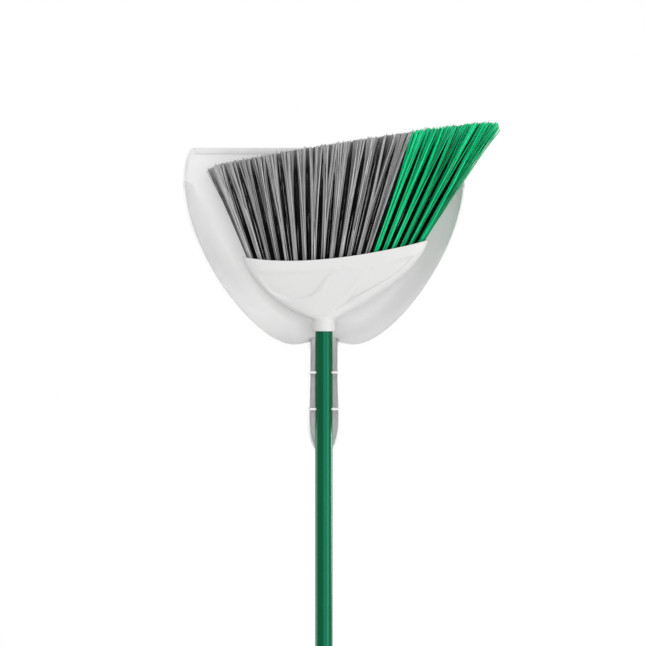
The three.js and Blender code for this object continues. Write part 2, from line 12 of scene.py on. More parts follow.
import bmesh
import bpy
import numpy as np
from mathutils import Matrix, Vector


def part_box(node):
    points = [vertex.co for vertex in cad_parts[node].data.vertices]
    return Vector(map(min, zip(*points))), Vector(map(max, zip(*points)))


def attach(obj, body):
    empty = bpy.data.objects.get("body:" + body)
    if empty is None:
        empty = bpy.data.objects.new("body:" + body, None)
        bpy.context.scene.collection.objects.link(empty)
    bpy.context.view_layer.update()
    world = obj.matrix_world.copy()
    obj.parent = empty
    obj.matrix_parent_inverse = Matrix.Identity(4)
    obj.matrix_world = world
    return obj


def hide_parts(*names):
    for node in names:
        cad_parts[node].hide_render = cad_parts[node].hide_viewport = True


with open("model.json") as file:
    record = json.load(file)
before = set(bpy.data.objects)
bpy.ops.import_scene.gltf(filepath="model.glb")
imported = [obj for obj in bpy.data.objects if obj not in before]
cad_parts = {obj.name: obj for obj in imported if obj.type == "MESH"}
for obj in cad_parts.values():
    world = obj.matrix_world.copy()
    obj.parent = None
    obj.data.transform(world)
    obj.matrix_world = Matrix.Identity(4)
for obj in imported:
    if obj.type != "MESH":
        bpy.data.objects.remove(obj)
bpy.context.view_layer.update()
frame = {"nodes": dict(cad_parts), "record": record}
joints = {joint["name"]: joint for joint in frame["record"]["behaviour"]["joints"]}
SOCKET_Z = joints["head_unscrew"]["pos_m"][2]
MM = 0.001

# ---- sizes, in millimetres unless they say otherwise ----

# The head's cap, seen from the front: x to the long side of the bristles, z up from the socket.
NECK_RADIUS = 13.0
NECK_HEIGHT = 13.0
HEAD_LEFT = 92.0
HEAD_RIGHT = 116.5
MOUTH_LEFT = 83.0
MOUTH_RIGHT = 101.5
MOUTH_DIP = 23.4
HEAD_DEPTH = 48.0
CAP_WALL = 2.5
CAP_ROUND = 360  # corners round one ring of the cap
CAP_ROWS = 84  # rings from its neck to its mouth

# The tufts, in columns from left to right and in rows from front to back.
GREY_COLUMNS = 14
GREEN_COLUMNS = 6
COLUMNS = GREY_COLUMNS + GREEN_COLUMNS
ROWS = 4
TUFT_RADIUS = 3.1
ROW_PITCH = 9.0  # from row to row in the middle of the block
END_ROW_PITCH = 7.2  # and at its two ends
TIP_ROW_PITCH = 12.4  # and at the trimmed ends
TUFT_EDGE = 12.0  # from the cap's corners to the first and the last column
BLOCK_INSET = 3.0
BLOCK_RECESS = 2.0
FAN_LEFT = -19.5  # degrees that the first column leans by
FAN_RIGHT = 30.0  # degrees that the last column leans by
TRIM_LEFT = 188.0
TRIM_RIGHT = 235.0
TRIM_CROWN = 3.5  # how far the trimmed line arches up in its middle
SWAY = 8.0  # how far the tips lean over to the right where the green tufts begin
OUTER_FIBRES = 110  # in a tuft of the front or the back row
INNER_FIBRES = 100
LOCKS = 9  # strands that the fibres of one tuft gather in
FIBRE_STEPS = 6  # lengths that one fibre bends in
FIBRE_TAPER = 0.82  # a fibre's width at its tip, as a share of its width at its root

# The pan, with its floor to the back and its lip up.
FLOOR_FRONT = 37.8
PAN_WALL = 2.4
PAN_HALF = 158.5
WING = 10.5  # how far the rim is wider than the floor at the lip, on each side
WING_RISE = 7.0  # how high the wall stands where the rim is widest
LIP_Z = 206.5
LIP_WIDTH = 6.0
WIDEST_Z = 169.5
REAR_DROP = 17.0  # how far the rim's two rear lobes hang under the socket's mouth
NOTCH_DROP = 12.0  # and the dip between them
LOBE_X = 33.5
REAR_DEPTH = 45.8  # how high the wall stands at the rear
SIDE_SWEEP = 25.0  # how far it curves in there before it meets the floor
WALL_STEP = 20.0  # how high it stands just behind the wings
WALL_ROWS = 18

# The pan's channelled grip, round the tube.
GRIP_HALF = 15.0
GRIP_WALL = 2.7
GRIP_FLOOR = 15.95
GRIP_FRONT = -5.5
GRIP_START = -4.0
GRIP_END = -132.0
GRIP_TAPER = 47.0
GRIP_ROWS = 26  # rings along its straight part, and as many along its rounded end
RIB_LEVELS = (-46.0, -87.0)
RIB_THICK = 2.8
TUBE_RADIUS = 9.75
TUBE_WALL = 0.5


def at(x, y, z):
    """A place in millimetres from the socket's mouth, in metres in the model's frame."""
    return (x * MM, y * MM, SOCKET_Z + z * MM)


def mix(a, b, share):
    """A value at a share of the way from one to another."""
    return a + (b - a) * share


def ease(share):
    """A soft step from 0 to 1."""
    share = min(max(share, 0.0), 1.0)
    return share * share * (3 - 2 * share)


def bezier(points, share):
    """A point of a cubic or a quadratic curve in the plane."""
    points = [np.array(p, float) for p in points]
    while len(points) > 1:
        points = [mix(a, b, share) for a, b in zip(points, points[1:])]
    return points[0]


# ---- modelling by hand, in code ----


def rest():
    """Leaves edit mode, with nothing selected."""
    if bpy.context.object and bpy.context.object.mode != "OBJECT":
        bpy.ops.object.mode_set(mode="OBJECT")
    bpy.ops.object.select_all(action="DESELECT")


def take(piece):
    """Selects one piece alone."""
    rest()
    piece.select_set(True)
    bpy.context.view_layer.objects.active = piece


def apply_modifier(piece, kind, **settings):
    """Adds a modifier to a piece, and applies it."""
    take(piece)
    bpy.ops.object.modifier_add(type=kind)
    modifier = piece.modifiers[-1]
    for key, value in settings.items():
        setattr(modifier, key, value)
    bpy.ops.object.modifier_apply(modifier=modifier.name)


def bevel(piece, width, segments, degrees):
    """Rounds the edges that are sharper than an angle; the width is in millimetres."""
    apply_modifier(
        piece, "BEVEL", width=width * MM, segments=segments,
        limit_method="ANGLE", angle_limit=math.radians(degrees),
    )


def smooth(piece, degrees):
    """Smooth shading, with edges sharper than the angle kept."""
    take(piece)
    bpy.ops.object.shade_smooth_by_angle(angle=math.radians(degrees))


def circle(name, places, fill="NOTHING"):
    """A ring of corners, put in their places, and left in edit mode."""
    rest()
    bpy.ops.mesh.primitive_circle_add(vertices=len(places), radius=0.01, fill_type=fill)
    piece = bpy.context.object
    piece.name = name
    bpy.ops.object.mode_set(mode="EDIT")
    shape = bmesh.from_edit_mesh(piece.data)
    shape.verts.ensure_lookup_table()
    for i, place in enumerate(places):
        shape.verts[i].co = place
    bmesh.update_edit_mesh(piece.data)
    return piece


def pick(shape, wanted):
    """Selects the edges whose two corners are both in wanted."""
    bpy.ops.mesh.select_mode(type="EDGE")
    bpy.ops.mesh.select_all(action="DESELECT")
    for edge in shape.edges:
        edge.select = edge.verts[0].index in wanted and edge.verts[1].index in wanted
    shape.select_flush_mode()


def pull(piece, line, places):
    """Extrudes the selected edges once, puts their new corners in place and gives their numbers."""
    bpy.ops.mesh.extrude_edges_move()
    shape = bmesh.from_edit_mesh(piece.data)
    shape.verts.index_update()
    shape.verts.ensure_lookup_table()
    fresh = []
    for i, place in zip(line, places):
        corner = shape.verts[i]
        new = next(
            e.other_vert(corner) for e in corner.link_edges
            if e.select is False and e.other_vert(corner).select
        )
        new.co = place
        fresh.append(new.index)
    bmesh.update_edit_mesh(piece.data)
    return fresh


def ringed(name, rings, open_line=False):
    """A skin through rings of corners, extruded from one to the next."""
    piece = circle(name, rings[0])
    shape = bmesh.from_edit_mesh(piece.data)
    line = list(range(len(rings[0])))
    if open_line:
        pick(shape, {0, line[-1]})
        bpy.ops.mesh.delete(type="EDGE")
        shape = bmesh.from_edit_mesh(piece.data)
    pick(shape, set(line))
    for ring in rings[1:]:
        line = pull(piece, line, ring)
    return piece


def faces_out(piece, outward):
    """Turns the skin so that its faces look the way that outward says, given a face's middle."""
    rest()
    votes = sum(
        np.sign(np.dot(face.normal, outward(face.center))) for face in piece.data.polygons
    )
    if votes < 0:
        take(piece)
        bpy.ops.object.mode_set(mode="EDIT")
        bpy.ops.mesh.select_all(action="SELECT")
        bpy.ops.mesh.flip_normals()
        rest()


def close_ends(piece):
    """Caps the open rings at both ends of a skin."""
    take(piece)
    bpy.ops.object.mode_set(mode="EDIT")
    bpy.ops.mesh.select_mode(type="EDGE")
    bpy.ops.mesh.select_all(action="DESELECT")
    bpy.ops.mesh.select_non_manifold()
    bpy.ops.mesh.edge_face_add()
    bpy.ops.mesh.select_all(action="SELECT")
    bpy.ops.mesh.remove_doubles(threshold=1e-6)
    bpy.ops.mesh.normals_make_consistent(inside=False)
    rest()


# ---- materials ----


class Finish:
    """A node material built step by step round one Principled shader."""

    def __init__(self, name, roughness=0.5, metallic=0.0, **sockets):
        self.material = bpy.data.materials.new(name)
        self.material.use_nodes = True
        self.tree = self.material.node_tree
        self.shader = next(n for n in self.tree.nodes if n.type == "BSDF_PRINCIPLED")
        self.shader.inputs["Roughness"].default_value = roughness
        self.shader.inputs["Metallic"].default_value = metallic
        for key, value in sockets.items():
            self.shader.inputs[key.replace("_", " ")].default_value = value
        self.place = self.node("ShaderNodeTexCoord").outputs["Object"]

    def node(self, kind, **settings):
        """A new node of this tree."""
        node = self.tree.nodes.new(kind)
        for key, value in settings.items():
            setattr(node, key, value)
        return node

    def link(self, a, b):
        """Joins an output to an input."""
        self.tree.links.new(a, b)

    def stretched(self, x, y, z):
        """The piece's own coordinates, stretched along its axes."""
        mapping = self.node("ShaderNodeMapping")
        mapping.inputs["Scale"].default_value = (x, y, z)
        self.link(self.place, mapping.inputs["Vector"])
        return mapping.outputs["Vector"]

    def noise(self, scale, detail=3.0, rough=0.5, place=None):
        """A cloudy value from 0 to 1 over the piece."""
        noise = self.node("ShaderNodeTexNoise")
        noise.inputs["Scale"].default_value = scale
        noise.inputs["Detail"].default_value = detail
        noise.inputs["Roughness"].default_value = rough
        self.link(place or self.place, noise.inputs["Vector"])
        return noise.outputs["Fac"]

    def ramp(self, value, *stops):
        """A value turned into a colour by stops, each a position and a colour."""
        ramp = self.node("ShaderNodeValToRGB")
        while len(ramp.color_ramp.elements) < len(stops):
            ramp.color_ramp.elements.new(0.5)
        for element, (position, colour) in zip(ramp.color_ramp.elements, stops):
            element.position = position
            element.color = (*colour, 1)
        self.link(value, ramp.inputs["Fac"])
        return ramp.outputs["Color"]

    def scaled(self, value, low, high):
        """A value from 0 to 1, spread between two others."""
        spread = self.node("ShaderNodeMapRange")
        spread.inputs["To Min"].default_value = low
        spread.inputs["To Max"].default_value = high
        self.link(value, spread.inputs["Value"])
        return spread.outputs["Result"]

    def blend(self, share, a, b, mode="MIX"):
        """Mixes two colours, each of them a socket or a plain colour."""
        mixer = self.node("ShaderNodeMix", data_type="RGBA", blend_type=mode)
        factor, first, second = mixer.inputs[0], mixer.inputs[6], mixer.inputs[7]
        for socket, value in ((factor, share), (first, a), (second, b)):
            if isinstance(value, bpy.types.NodeSocket):
                self.link(value, socket)
            else:
                socket.default_value = (*value, 1) if isinstance(value, tuple) else value
        return mixer.outputs[2]

    def colour(self, value):
        """Gives the shader its colour."""
        self.link(value, self.shader.inputs["Base Color"])

    def roughness(self, value):
        """Gives the shader its roughness."""
        self.link(value, self.shader.inputs["Roughness"])

    def bump(self, *layers):
        """Stacks bumps: each layer is a height, its strength and its depth in millimetres."""
        below = None
        for height, strength, depth in layers:
            bump = self.node("ShaderNodeBump")
            bump.inputs["Strength"].default_value = strength
            bump.inputs["Distance"].default_value = depth * MM
            self.link(height, bump.inputs["Height"])
            if below:
                self.link(below, bump.inputs["Normal"])
            below = bump.outputs["Normal"]
        self.link(below, self.shader.inputs["Normal"])

    def attribute(self, name):
        """A value that the piece's corners carry."""
        return self.node("ShaderNodeAttribute", attribute_name=name).outputs["Fac"]


def grey(value):
    """A neutral colour."""
    return (value, value, value)


def moulded_white(name, light, roughness, grain=1.0, glow=0.1):
    """Satin white polypropylene: faint cloudiness, a fine mould grain and slow waves of the skin.

    glow is how much light passes through the moulding, more of it in the thin pan.
    """
    finish = Finish(name, roughness, Subsurface_Weight=glow, Specular_IOR_Level=0.4)
    finish.shader.inputs["Subsurface Radius"].default_value = (1.0, 1.0, 1.0)
    finish.shader.inputs["Subsurface Scale"].default_value = 0.008
    cloud = finish.noise(9.0, 4.0)
    low = tuple(c * 0.975 for c in light)
    finish.colour(finish.ramp(cloud, (0.3, low), (0.7, light)))
    finish.roughness(finish.scaled(finish.noise(46.0, 5.0), roughness - 0.07, roughness + 0.08))
    finish.bump(
        (finish.noise(14.0, 1.0), 0.25 * grain, 0.6),
        (finish.noise(1900.0, 2.0), 0.18 * grain, 0.06),
    )
    return finish.material


def painted_steel(name):
    """Glossy dark green stoving paint, with orange peel and fine marks along the tube."""
    finish = Finish(name, 0.22, Specular_IOR_Level=0.6, Specular_Tint=(0.12, 1.0, 0.72, 1.0))
    tone = finish.noise(5.0, 3.0)
    paint = finish.ramp(tone, (0.35, (0.0012, 0.060, 0.016)), (0.65, (0.002, 0.076, 0.022)))
    marks = finish.noise(60.0, 6.0, 0.65, finish.stretched(6.0, 6.0, 0.25))
    worn = finish.ramp(marks, (0.62, grey(0.0)), (0.74, grey(1.0)))
    finish.colour(finish.blend(worn, paint, (0.006, 0.11, 0.04)))
    finish.roughness(finish.scaled(marks, 0.16, 0.28))
    finish.bump((finish.noise(420.0, 2.0), 0.12, 0.05), (marks, 0.05, 0.03))
    return finish.material


def moulded_colour(name, dark, light, roughness):
    """A coloured moulded plastic with a fine grain and a little mottle."""
    finish = Finish(name, roughness, Specular_IOR_Level=0.45)
    finish.colour(finish.ramp(finish.noise(30.0, 5.0), (0.35, dark), (0.65, light)))
    finish.roughness(finish.scaled(finish.noise(80.0, 4.0), roughness - 0.08, roughness + 0.1))
    finish.bump((finish.noise(1500.0, 2.0), 0.3, 0.08), (finish.noise(60.0, 2.0), 0.15, 0.2))
    return finish.material


def bristle_fibre(name, dark, middle, light, tip):
    """Extruded fibre: each one has its own tone, painted shade deep in the tuft, and a paler cut tip."""
    finish = Finish(name, 0.45, Specular_IOR_Level=0.28)
    tone = finish.ramp(finish.attribute("tone"), (0.0, dark), (0.5, middle), (1.0, light))
    # The depth layer is painted shade: it blends the fibre towards near black where the tuft around it
    # shades it.
    shade = finish.attribute("depth")
    deep = finish.blend(shade, tone, tuple(c * 0.12 for c in dark))
    end = finish.attribute("tip")
    streak = finish.noise(240.0, 3.0, 0.6, finish.stretched(3.0, 3.0, 0.3))
    cut = finish.blend(end, deep, tip)
    streaks = finish.ramp(streak, (0.3, grey(0.35)), (0.7, grey(1.0)))
    finish.colour(finish.blend(0.35, cut, streaks, "MULTIPLY"))
    finish.roughness(finish.scaled(streak, 0.34, 0.56))
    finish.bump((streak, 0.35, 0.08))
    return finish.material


WHITE_CAP = moulded_white("white_cap_plastic", (0.665, 0.665, 0.66), 0.36)
WHITE_PAN = moulded_white("white_pan_plastic", (0.90, 0.90, 0.895), 0.42, 1.3, 0.7)
GREEN_PAINT = painted_steel("green_tube_paint")
GREEN_PLASTIC = moulded_colour(
    "green_cap_plastic", (0.004, 0.085, 0.033), (0.006, 0.115, 0.046), 0.42
)
NATURAL_PLASTIC = moulded_colour(
    "natural_tip_plastic", (0.55, 0.56, 0.52), (0.64, 0.65, 0.61), 0.5
)
BLACK_PLASTIC = moulded_colour("black_block_plastic", grey(0.004), grey(0.012), 0.6)
WHITE_RUBBER = moulded_colour("white_lip_rubber", (0.84, 0.84, 0.835), (0.88, 0.88, 0.875), 0.6)
GREY_FIBRE = bristle_fibre("grey_fibre", grey(0.05), grey(0.30), grey(0.74), grey(0.62))
GREEN_FIBRE = bristle_fibre(
    "green_fibre", (0.0, 0.08, 0.018), (0.001, 0.54, 0.19), (0.002, 0.97, 0.42), (0.03, 0.92, 0.46)
)


def dress(piece, material, body, slot, *nodes):
    """Gives a finished piece its material, its body and the nodes that it stands for."""
    piece.data.materials.clear()
    piece.data.materials.append(material)
    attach(piece, body)
    if nodes:
        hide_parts(*nodes)


# ---- handle ----


def level_ring(count, half_x, half_y, z, power=2.0):
    """Corners at even steps round a rounded box, in millimetres from the socket's mouth."""
    fine = np.linspace(0, 2 * math.pi, 1441)
    xs = half_x * np.sign(np.cos(fine)) * np.abs(np.cos(fine)) ** (2 / power)
    ys = half_y * np.sign(np.sin(fine)) * np.abs(np.sin(fine)) ** (2 / power)
    run = np.concatenate([[0], np.cumsum(np.hypot(np.diff(xs), np.diff(ys)))])
    steps = np.linspace(0, run[-1], count, endpoint=False)
    return [(x, y, z) for x, y in zip(np.interp(steps, run, xs), np.interp(steps, run, ys))]


def placed(ring):
    """A ring in millimetres, in metres in the model's frame."""
    return [at(*corner) for corner in ring]


def away_from_axis(middle):
    """The way out from the tube's axis."""
    return (middle[0], middle[1], 0)


def make_tube():
    """The painted tube, open at both ends under its caps."""
    low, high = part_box("handle_tube")
    bottom, top = [(z - SOCKET_Z) / MM for z in (low[2], high[2])]
    levels = [bottom, bottom + 1, *np.linspace(bottom + 60, top - 60, 16), top - 1, top]
    rings = [placed(level_ring(96, TUBE_RADIUS, TUBE_RADIUS, z)) for z in levels]
    tube = ringed("painted_tube", rings)
    faces_out(tube, away_from_axis)
    apply_modifier(tube, "SOLIDIFY", thickness=TUBE_WALL * MM, offset=-1)
    smooth(tube, 40)
    dress(tube, GREEN_PAINT, "handle", "green_paint", "handle_tube")


def make_hang_cap():
    """The end cap: a flat tongue with a hang hole, which grows into a ribbed collar and a plug."""
    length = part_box("handle_tube")[0][2] / MM - 0.3
    base = -SOCKET_Z / MM
    collar = TUBE_RADIUS + 0.4
    groove, plug = collar - 0.5, 8.9
    hole_radius, hole_height = 4.5, 14
    # Half width, half depth, height over the end and roundness of each ring.
    profile = (
        (4.2, 3.2, 0.0, 3), (5.0, 3.4, 0.2, 3), (6.6, 3.9, 0.9, 3), (7.8, 4.15, 2.0, 3),
        (9.0, 4.4, 4.0, 3), (9.6, 4.5, 6.5, 3), (10.0, 4.5, 11.0, 3), (10.0, 4.5, 17.0, 3),
        (10.0, 4.6, 22.0, 3), (10.05, 5.6, 26.0, 2.7), (10.1, 7.4, 30.0, 2.4),
        (10.15, 9.3, 33.5, 2.15), (collar, collar, 36.0, 2), (collar, collar, length - 4.4, 2),
        (groove, groove, length - 4.0, 2), (groove, groove, length - 3.2, 2),
        (collar, collar, length - 2.8, 2), (collar, collar, length - 0.4, 2),
        (collar - 0.4, collar - 0.4, length, 2), (plug, plug, length, 2), (plug, plug, length + 21, 2),
    )
    rings = [placed(level_ring(72, x, y, base + z, power)) for x, y, z, power in profile]
    cap = ringed("hang_cap_moulding", rings)
    close_ends(cap)
    rest()
    bpy.ops.mesh.primitive_cylinder_add(
        vertices=48, radius=hole_radius * MM, depth=30 * MM, location=(0, 0, hole_height * MM),
        rotation=(math.radians(90), 0, 0),
    )
    drill = bpy.context.object
    bpy.ops.object.transform_apply(location=True, rotation=True, scale=True)
    apply_modifier(cap, "BOOLEAN", object=drill, operation="DIFFERENCE", solver="EXACT")
    bpy.data.objects.remove(drill)
    bevel(cap, 0.5, 2, 50)
    smooth(cap, 40)
    dress(cap, GREEN_PLASTIC, "handle", "green_plastic", "hang_cap")


# ---- head ----

# The cap's two side lines, from its mouth down to its neck.
LEFT_SIDE = (
    (-HEAD_LEFT, MOUTH_LEFT), (-0.87 * HEAD_LEFT, 0.62 * MOUTH_LEFT),
    (-0.57 * HEAD_LEFT, 0.32 * MOUTH_LEFT), (-NECK_RADIUS, NECK_HEIGHT),
)
RIGHT_SIDE = (
    (HEAD_RIGHT, MOUTH_RIGHT), (0.93 * HEAD_RIGHT, 0.71 * MOUTH_RIGHT),
    (0.57 * HEAD_RIGHT, 0.39 * MOUTH_RIGHT), (NECK_RADIUS, NECK_HEIGHT),
)


def across(down, inset=0.0):
    """The curved line across the cap at a share of the way down from its mouth."""
    left, right = bezier(LEFT_SIDE, down), bezier(RIGHT_SIDE, down)
    along = (right - left) / np.linalg.norm(right - left)
    left, right = left + along * inset, right - along * inset
    middle = (left + right) / 2
    middle = middle - np.array([0.117 * (HEAD_LEFT + HEAD_RIGHT), MOUTH_DIP]) * (1 - down)
    return left, middle, right


def cap_ring(down):
    """A ring of the cap: a rounded box at its mouth, and a circle at its neck."""
    line = across(down)
    half = mix(HEAD_DEPTH / 2, NECK_RADIUS, ease(down))
    width = np.linalg.norm(line[2] - line[0]) / 2
    ring = level_ring(CAP_ROUND, width, half, 0, mix(6, 2, ease(down)))
    corners = []
    for x, y, _ in ring:
        place = bezier(line, (x / width + 1) / 2)
        corners.append((place[0], y, place[1]))
    return corners


def outline_distance(outline, x, z):
    """Signed distance to a closed outline: positive inside."""
    a = np.array(outline, float)
    b = np.roll(a, -1, axis=0)
    p = np.array([x, z])
    run = b - a
    share = np.clip(((p - a) * run).sum(1) / (run**2).sum(1), 0, 1)
    gap = np.hypot(*(a + run * share[:, None] - p).T).min()
    crossing = (a[:, 1] > z) != (b[:, 1] > z)
    with np.errstate(divide="ignore", invalid="ignore"):
        reach = a[:, 0] + (z - a[:, 1]) * run[:, 0] / run[:, 1]
    inside = (crossing & (x < reach)).sum() % 2 == 1
    return gap if inside else -gap


def rounded_outline(*curves, steps=14):
    """An outline of curves, each one starting where the last one ends."""
    return [tuple(bezier(curve, i / steps)) for curve in curves for i in range(steps)]


# The sunk panel on the long left shoulder, and the leaf on the right one.
LEFT_PANEL = rounded_outline(
    ((-77, 67), (-50, 66.2), (-20, 66.4), (11, 67)),
    ((11, 67), (5, 61), (1, 55), (-4, 49.5)),
    ((-4, 49.5), (-12, 41), (-24, 37.5), (-38, 38.2)),
    ((-38, 38.2), (-54, 39.5), (-68, 52), (-77, 67)),
)
LEAF_PANEL = rounded_outline(
    ((14, 24.6), (25, 31.5), (37, 52), (55, 66.5)),
    ((55, 66.5), (66, 75), (82, 80.5), (101, 84.5)),
    ((101, 84.5), (93, 73), (82, 63.5), (68, 55.5)),
    ((68, 55.5), (48, 44), (30, 35), (14, 24.6)),
)


def open_curve(*points):
    """Places along a curve, both ends included."""
    return [tuple(bezier(points, i / 20)) for i in range(21)]


# The sharp fold under the leaf, and the raised lines beside the panel and over the leaf.
LEAF_CREASE = open_curve((12, 23.6), (24, 30), (38, 36.5), (58, 47.5))
RIDGES = (
    open_curve((19, 71), (5, 62), (-3, 53), (-11, 41)),
    open_curve((9, 25), (20, 32), (32, 53), (52, 69.5)),
)
LEAF_FOOT = (14, 24.6)
LEAF_RUN = np.array([87.0, 59.9]) / math.hypot(87.0, 59.9)


def near(line, x, z):
    """How far a place is from a line."""
    return min(math.hypot(x - a, z - b) for a, b in line)


def relief(x, z):
    """How far the cap's face sinks at a place, in millimetres."""
    bowl = ease((outline_distance(LEFT_PANEL, x, z) + mix(1.0, 4.0, ease((60 - z) / 18))) / 5.0)
    bowl *= 0.9 + 2.3 * ease((66 - z) / 32)
    above = np.dot((x - LEAF_FOOT[0], z - LEAF_FOOT[1]), (-LEAF_RUN[1], LEAF_RUN[0]))
    leaf = ease((outline_distance(LEAF_PANEL, x, z) + 0.8) / 3.4)
    leaf *= mix(mix(3.8, 2.6, ease((x - 30) / 45)), 0.5, ease((above + 4) / 16))
    fade = 1 - ease((x - 26) / 34)
    crease = 0.9 * fade * math.exp(-((near(LEAF_CREASE, x, z) / 1.3) ** 2))
    band = ease((MOUTH_LEFT - 12 - z + 0.06 * x) / 6.0) * 0.8 * (1 - ease((x - 20) / 30))
    ridge = sum(0.55 * math.exp(-((near(line, x, z) / 2.0) ** 2)) for line in RIDGES)
    return bowl + leaf + band + crease - ridge * (1 - ease((20 - z) / 12) * 0.6)


def make_cap():
    """The white cap: neck and shoulders in one skin, its face pressed in, and a wall thick."""
    shares = [1 - ease(i / CAP_ROWS) * 0.35 - (i / CAP_ROWS) * 0.65 for i in range(1, CAP_ROWS + 1)]
    neck = [
        [(x, y, z) for x, y, _ in level_ring(CAP_ROUND, r, r, 0)]
        for r, z in ((12.3, 0.0), (12.8, 0.3), (13.0, 0.9), (13.0, 5.0), (13.0, 9.5), (13.05, 12.2))
    ]
    rings = neck + [cap_ring(share) for share in shares]
    cap = ringed("cap_shell", [placed(ring) for ring in rings])
    faces_out(cap, lambda middle: (middle[0], middle[1] * 3, 0))
    for corner in cap.data.vertices:
        x, y, z = corner.co.x / MM, corner.co.y / MM, (corner.co.z - SOCKET_Z) / MM
        facing = ease((2 * abs(y) / HEAD_DEPTH - 0.25) / 0.4)
        if z > 18 and facing > 0:
            corner.co.y -= math.copysign(relief(x, z) * facing * MM, y)
    apply_modifier(cap, "SOLIDIFY", thickness=CAP_WALL * MM, offset=-1, use_even_offset=False)
    bevel(cap, 0.45, 2, 55)
    smooth(cap, 42)
    dress(cap, WHITE_CAP, "head", "white_cap", "head_cap")


# ---- bristles ----


def block_line():
    """Corners along the middle of the block's face, for reading it by length."""
    line = across(0.0, BLOCK_INSET)
    points = np.array([bezier(line, i / 400) for i in range(401)])
    run = np.concatenate([[0], np.cumsum(np.hypot(*np.diff(points, axis=0).T))])
    return points, run


BLOCK_POINTS, BLOCK_RUN = block_line()


def column_root(column):
    """Where a column leaves the block, and the way that it leans."""
    edge = TUFT_EDGE - BLOCK_INSET
    way = mix(edge, BLOCK_RUN[-1] - edge, column / (COLUMNS - 1))
    x, z = (np.interp(way, BLOCK_RUN, BLOCK_POINTS[:, k]) for k in (0, 1))
    lean = math.radians(mix(FAN_LEFT, FAN_RIGHT, column / (COLUMNS - 1)))
    return np.array([x, z - BLOCK_RECESS]), np.array([math.sin(lean), math.cos(lean)])


def trim_height(x):
    """The height of the trimmed ends, a slanted line with a slight crown."""
    share = (x + 1.4 * HEAD_LEFT) / (1.56 * (HEAD_LEFT + HEAD_RIGHT))
    return mix(TRIM_LEFT, TRIM_RIGHT, share) + 4 * TRIM_CROWN * share * (1 - share)


def column_tip(column):
    """The middle of a column's trimmed end."""
    root, lean = column_root(column)
    tip = root.copy()
    for _ in range(8):
        tip = tip + lean * (trim_height(tip[0]) - tip[1]) / lean[1]
    border = GREY_COLUMNS - 0.5
    tip[0] += SWAY * ease(column / border) * (1 - ease((column - border) / (COLUMNS - 1 - border)))
    return tip


ROOTS = [column_root(c) for c in range(COLUMNS)]
TIPS = [column_tip(c) for c in range(COLUMNS)]


def tip_half_width(column):
    """Half of a column's share of the trimmed line."""
    last, first = min(column + 1, COLUMNS - 1), max(column - 1, 0)
    return abs(TIPS[last][0] - TIPS[first][0]) / (last - first) / 2


def make_rod():
    """One fibre, a unit long and a unit wide: a three-sided rod in a few steps, with a cut end."""
    rest()
    bpy.ops.mesh.primitive_circle_add(vertices=3, radius=0.5, fill_type="NGON")
    rod = bpy.context.object
    bpy.ops.object.mode_set(mode="EDIT")
    bpy.ops.mesh.select_all(action="SELECT")
    for _ in range(FIBRE_STEPS):
        bpy.ops.mesh.extrude_region_move(TRANSFORM_OT_translate={"value": (0, 0, 1 / FIBRE_STEPS)})
    bpy.ops.mesh.select_all(action="SELECT")
    bpy.ops.mesh.normals_make_consistent(inside=False)
    rest()
    corners = np.array([v.co[:] for v in rod.data.vertices])
    faces = [tuple(p.vertices) for p in rod.data.polygons]
    bpy.data.objects.remove(rod)
    return corners, faces


def locks(chance, count):
    """Where the locks of fibres in one tuft lie across it, each with its own tone."""
    places = []
    for _ in range(count):
        turn, reach = chance.uniform(0, 2 * math.pi), math.sqrt(chance.random())
        places.append((reach * math.cos(turn), reach * math.sin(turn), chance.uniform(0.6, 1.0)))
    return places


